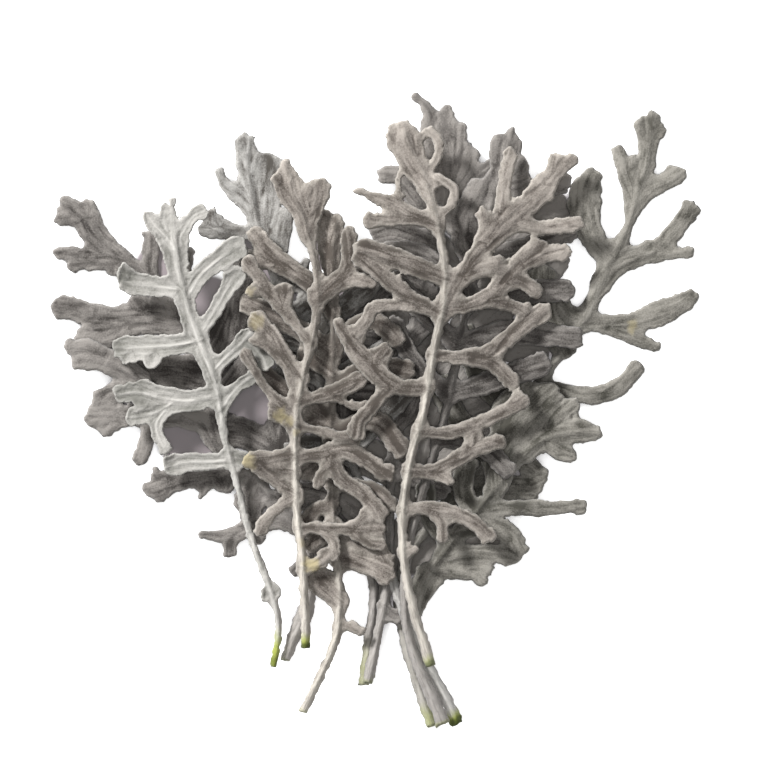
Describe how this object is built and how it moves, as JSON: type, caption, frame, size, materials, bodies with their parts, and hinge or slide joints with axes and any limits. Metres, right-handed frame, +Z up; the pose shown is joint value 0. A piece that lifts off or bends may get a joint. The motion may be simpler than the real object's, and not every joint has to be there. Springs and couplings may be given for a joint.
{
  "type": "bunch of cut dusty miller leaves",
  "caption": "Bunch of felted silver-grey, deeply lobed dusty miller leaves, cut with their stalks and lying flat, fanned out over each other from the gathered stalk ends.",
  "frame": {"origin": "middle of the bunch's bounding box seen from above, on the surface under its lowest leaves", "axes": "+Z up off the surface, +Y from the cut stalk ends towards the leaf tips, +X to the right of that as seen from above"},
  "size_m": [0.1942, 0.1916, 0.021],
  "materials": {
    "white_felt": "dense white felt of the leaf's underside, matt",
    "warm_felt": "thin silver-grey felt over the grey-green leaf, matt, paler along the edges",
    "shaded_felt": "thin grey felt of the older leaves, matt",
    "green_felt": "thin grey felt with more of the green leaf under it, matt"
  },
  "bodies": {
    "root": {"leaf_low_middle": "shaded_felt", "leaf_far_left": "shaded_felt", "leaf_far_right": "green_felt", "leaf_low_left": "shaded_felt", "leaf_back_top": "shaded_felt", "leaf_low_right": "green_felt", "leaf_back_left": "green_felt", "leaf_back_right": "shaded_felt", "leaf_back_middle": "warm_felt", "leaf_front_left": "white_felt", "leaf_front_middle": "warm_felt", "leaf_front_right": "warm_felt"}
  },
  "joints": []
}
